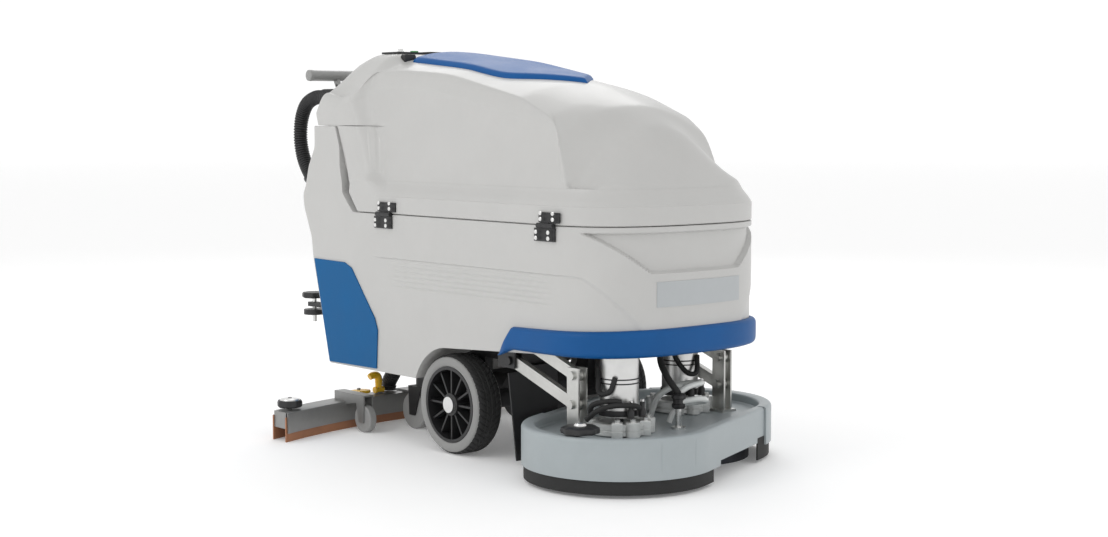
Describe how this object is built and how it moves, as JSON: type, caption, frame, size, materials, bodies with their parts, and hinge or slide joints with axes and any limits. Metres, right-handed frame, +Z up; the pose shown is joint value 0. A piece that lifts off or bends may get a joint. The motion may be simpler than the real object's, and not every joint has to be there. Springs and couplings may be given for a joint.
{
  "type": "walk-behind floor scrubber",
  "caption": "Walk-behind floor scrubber with staggered disc brushes under a lifting deck, a tilting recovery tank over a solution tank, and a swinging curved squeegee.",
  "frame": {"origin": "on the floor, under the middle of the overall box", "axes": "+Z up, +Y towards the operator at the back, -X is the side the recovery tank tilts towards"},
  "size_m": [1.01, 1.4781, 1.019],
  "materials": {
    "shell_grey": "rotomoulded light grey, fine matte grain",
    "blue_gloss": "smooth semi-gloss blue",
    "frame_black": "black powder coat",
    "cast_drive": "dark cast alloy",
    "battery_case": "black battery case",
    "black_rubber": "black rubber",
    "hose_black": "black corrugated hose",
    "handle_grey": "satin grey coat",
    "knob_black": "black moulded knob",
    "control_black": "black panel",
    "button_green": "green push button",
    "button_blue": "blue push button",
    "key_steel": "nickel plated",
    "vacuum_case": "dark motor case",
    "tyre_grey": "non-marking grey side, black tread",
    "rim_black": "black spoked rim",
    "bright_steel": "turned steel",
    "caster_rubber": "black caster tread",
    "zinc_plate": "bright zinc plate",
    "deck_paint": "grey-blue enamel",
    "motor_alloy": "bright turned can",
    "clamp_alloy": "blasted cast clamp",
    "fitting_black": "black fitting",
    "brush_block": "black brush block",
    "bristle": "blue nylon bristle",
    "squeegee_steel": "grey coated squeegee holder",
    "blade_tan": "tan gum blade",
    "castor_grey": "grey wheel",
    "yellow": "yellow touch point"
  },
  "bodies": {
    "chassis": {"chassis_frame": "frame_black", "solution_tank": "shell_grey", "front_bumper": "blue_gloss", "side_panels": "blue_gloss", "transaxle": "cast_drive", "batteries": "battery_case", "motor_controller": "cast_drive", "splash_plate": "black_rubber", "hinge_lower_leaves": "frame_black", "handle_bar": "handle_grey", "suction_hose": "hose_black"},
    "recovery": {"recovery_tank": "shell_grey", "hinge_upper_leaves": "frame_black", "lid_gasket": "black_rubber", "vacuum_motor": "vacuum_case", "float_cage": "vacuum_case", "control_panel": "control_black", "hose_cuff": "black_rubber"},
    "lid": {"tank_lid": "blue_gloss"},
    "key": {"key_switch": "key_steel"},
    "brush_switch": {"brush_button": "button_green"},
    "vacuum_switch": {"vacuum_button": "button_blue"},
    "paddle": {"drive_paddle": "control_black"},
    "adjuster": {"adjuster_handwheel": "knob_black"},
    "adjuster_lock": {"adjuster_lockwheel": "knob_black"},
    "right_wheel": {"right_tyre": "tyre_grey", "right_rim": "rim_black", "right_axle": "bright_steel"},
    "left_wheel": {"left_tyre": "tyre_grey", "left_rim": "rim_black", "left_axle": "bright_steel"},
    "right_fork": {"right_caster_fork": "frame_black"},
    "left_fork": {"left_caster_fork": "frame_black"},
    "right_caster": {"right_caster_wheel": "caster_rubber"},
    "left_caster": {"left_caster_wheel": "caster_rubber"},
    "low_link": {"lower_links": "zinc_plate"},
    "top_link": {"upper_links": "zinc_plate"},
    "deck": {"deck_housing": "deck_paint", "side_covers": "deck_paint", "side_skirts": "black_rubber", "deck_uprights": "zinc_plate", "brush_motors": "motor_alloy", "brush_clamps": "clamp_alloy", "water_manifold": "fitting_black"},
    "right_brush": {"right_brush_plate": "brush_block", "right_bristles": "bristle"},
    "left_brush": {"left_brush_plate": "brush_block", "left_bristles": "bristle"},
    "skirt_knob": {"deck_knob": "knob_black"},
    "lift_arm": {"squeegee_arm": "frame_black"},
    "squeegee": {"squeegee_body": "squeegee_steel", "squeegee_blades": "blade_tan", "suction_elbow": "hose_black"},
    "right_sq_wheel": {"right_squeegee_wheel": "castor_grey"},
    "left_sq_wheel": {"left_squeegee_wheel": "castor_grey"},
    "right_roller": {"right_end_roller": "knob_black"},
    "left_roller": {"left_end_roller": "knob_black"},
    "right_knob": {"right_wing_knob": "yellow"},
    "left_knob": {"left_wing_knob": "yellow"},
    "lever": {"blade_lever": "yellow"}
  },
  "joints": [
    {"name": "tank_tilt", "type": "hinge", "parent": "chassis", "child": "recovery", "pos_m": [-0.297, 0, 0.5885], "axis": [0, -1, 0], "range_deg": [0, 75]},
    {"name": "lid_hinge", "type": "hinge", "parent": "recovery", "child": "lid", "pos_m": [0, -0.216, 0.934], "axis": [1, 0, 0], "range_deg": [0, 80]},
    {"name": "key_turn", "type": "hinge", "parent": "recovery", "child": "key", "pos_m": [-0.115, 0.41, 1.005], "axis": [0, 0, 1], "range_deg": [-90, 0]},
    {"name": "brush_press", "type": "slide", "parent": "recovery", "child": "brush_switch", "axis": [0, 0, -1], "range_m": [0, 0.003], "stiffness_N_per_m": 400},
    {"name": "vacuum_press", "type": "slide", "parent": "recovery", "child": "vacuum_switch", "axis": [0, 0, -1], "range_m": [0, 0.003], "stiffness_N_per_m": 400},
    {"name": "paddle_squeeze", "type": "hinge", "parent": "chassis", "child": "paddle", "pos_m": [0, 0.651, 0.924], "axis": [1, 0, 0], "range_deg": [0, 15], "stiffness_Nm_per_rad": 3},
    {"name": "adjuster_turn", "type": "hinge", "parent": "chassis", "child": "adjuster", "pos_m": [-0.23, 0.668, 0.318], "axis": [0, 0, 1], "continuous": true},
    {"name": "adjuster_lock_turn", "type": "hinge", "parent": "chassis", "child": "adjuster_lock", "pos_m": [-0.23, 0.668, 0.297], "axis": [0, 0, 1], "continuous": true},
    {"name": "right_wheel_spin", "type": "hinge", "parent": "chassis", "child": "right_wheel", "pos_m": [-0.246, -0.017, 0.125], "axis": [1, 0, 0], "continuous": true},
    {"name": "left_wheel_spin", "type": "hinge", "parent": "chassis", "child": "left_wheel", "pos_m": [0.246, -0.017, 0.125], "axis": [1, 0, 0], "continuous": true},
    {"name": "right_fork_swivel", "type": "hinge", "parent": "chassis", "child": "right_fork", "pos_m": [-0.12, 0.306, 0.11], "axis": [0, 0, 1], "continuous": true},
    {"name": "left_fork_swivel", "type": "hinge", "parent": "chassis", "child": "left_fork", "pos_m": [0.12, 0.306, 0.11], "axis": [0, 0, 1], "continuous": true},
    {"name": "right_caster_spin", "type": "hinge", "parent": "right_fork", "child": "right_caster", "pos_m": [-0.12, 0.336, 0.05], "axis": [1, 0, 0], "continuous": true},
    {"name": "left_caster_spin", "type": "hinge", "parent": "left_fork", "child": "left_caster", "pos_m": [0.12, 0.336, 0.05], "axis": [1, 0, 0], "continuous": true},
    {"name": "deck_lift", "type": "hinge", "parent": "chassis", "child": "low_link", "pos_m": [0, -0.22, 0.254], "axis": [-1, 0, 0], "range_deg": [0, 16]},
    {"name": "top_link_swing", "type": "hinge", "parent": "chassis", "child": "top_link", "pos_m": [0, -0.223, 0.322], "axis": [-1, 0, 0], "range_deg": [0, 16]},
    {"name": "deck_level", "type": "hinge", "parent": "low_link", "child": "deck", "pos_m": [0, -0.446, 0.175], "axis": [-1, 0, 0], "range_deg": [-16, 0]},
    {"name": "right_brush_spin", "type": "hinge", "parent": "deck", "child": "right_brush", "pos_m": [-0.165, -0.512, 0.1], "axis": [0, 0, 1], "continuous": true},
    {"name": "left_brush_spin", "type": "hinge", "parent": "deck", "child": "left_brush", "pos_m": [0.165, -0.377, 0.1], "axis": [0, 0, 1], "continuous": true},
    {"name": "skirt_knob_turn", "type": "hinge", "parent": "deck", "child": "skirt_knob", "pos_m": [-0.335, -0.568, 0.142], "axis": [0, 0, 1], "continuous": true},
    {"name": "squeegee_lift", "type": "hinge", "parent": "chassis", "child": "lift_arm", "pos_m": [0, 0.19, 0.135], "axis": [1, 0, 0], "range_deg": [0, 6]},
    {"name": "squeegee_swing", "type": "hinge", "parent": "lift_arm", "child": "squeegee", "pos_m": [0, 0.452, 0.08], "axis": [0, 0, 1], "range_deg": [-12, 12]},
    {"name": "right_squeegee_wheel_spin", "type": "hinge", "parent": "squeegee", "child": "right_sq_wheel", "pos_m": [-0.261, 0.378, 0.037], "axis": [1, 0, 0], "continuous": true},
    {"name": "left_squeegee_wheel_spin", "type": "hinge", "parent": "squeegee", "child": "left_sq_wheel", "pos_m": [0.261, 0.378, 0.037], "axis": [1, 0, 0], "continuous": true},
    {"name": "right_roller_spin", "type": "hinge", "parent": "squeegee", "child": "right_roller", "pos_m": [-0.462, 0.43256, 0.094], "axis": [0, 0, 1], "continuous": true},
    {"name": "left_roller_spin", "type": "hinge", "parent": "squeegee", "child": "left_roller", "pos_m": [0.462, 0.43256, 0.094], "axis": [0, 0, 1], "continuous": true},
    {"name": "right_knob_turn", "type": "hinge", "parent": "squeegee", "child": "right_knob", "pos_m": [-0.2, 0.49912, 0.085], "axis": [0, 0, 1], "continuous": true},
    {"name": "left_knob_turn", "type": "hinge", "parent": "squeegee", "child": "left_knob", "pos_m": [0.2, 0.49912, 0.085], "axis": [0, 0, 1], "continuous": true},
    {"name": "lever_flip", "type": "hinge", "parent": "squeegee", "child": "lever", "pos_m": [-0.134, 0.49921, 0.087], "axis": [1, 0, 0], "range_deg": [0, 80]}
  ],
  "couplings": [
    {"joint": "top_link_swing", "follows": "deck_lift", "ratio": 1},
    {"joint": "deck_level", "follows": "deck_lift", "ratio": -1}
  ]
}
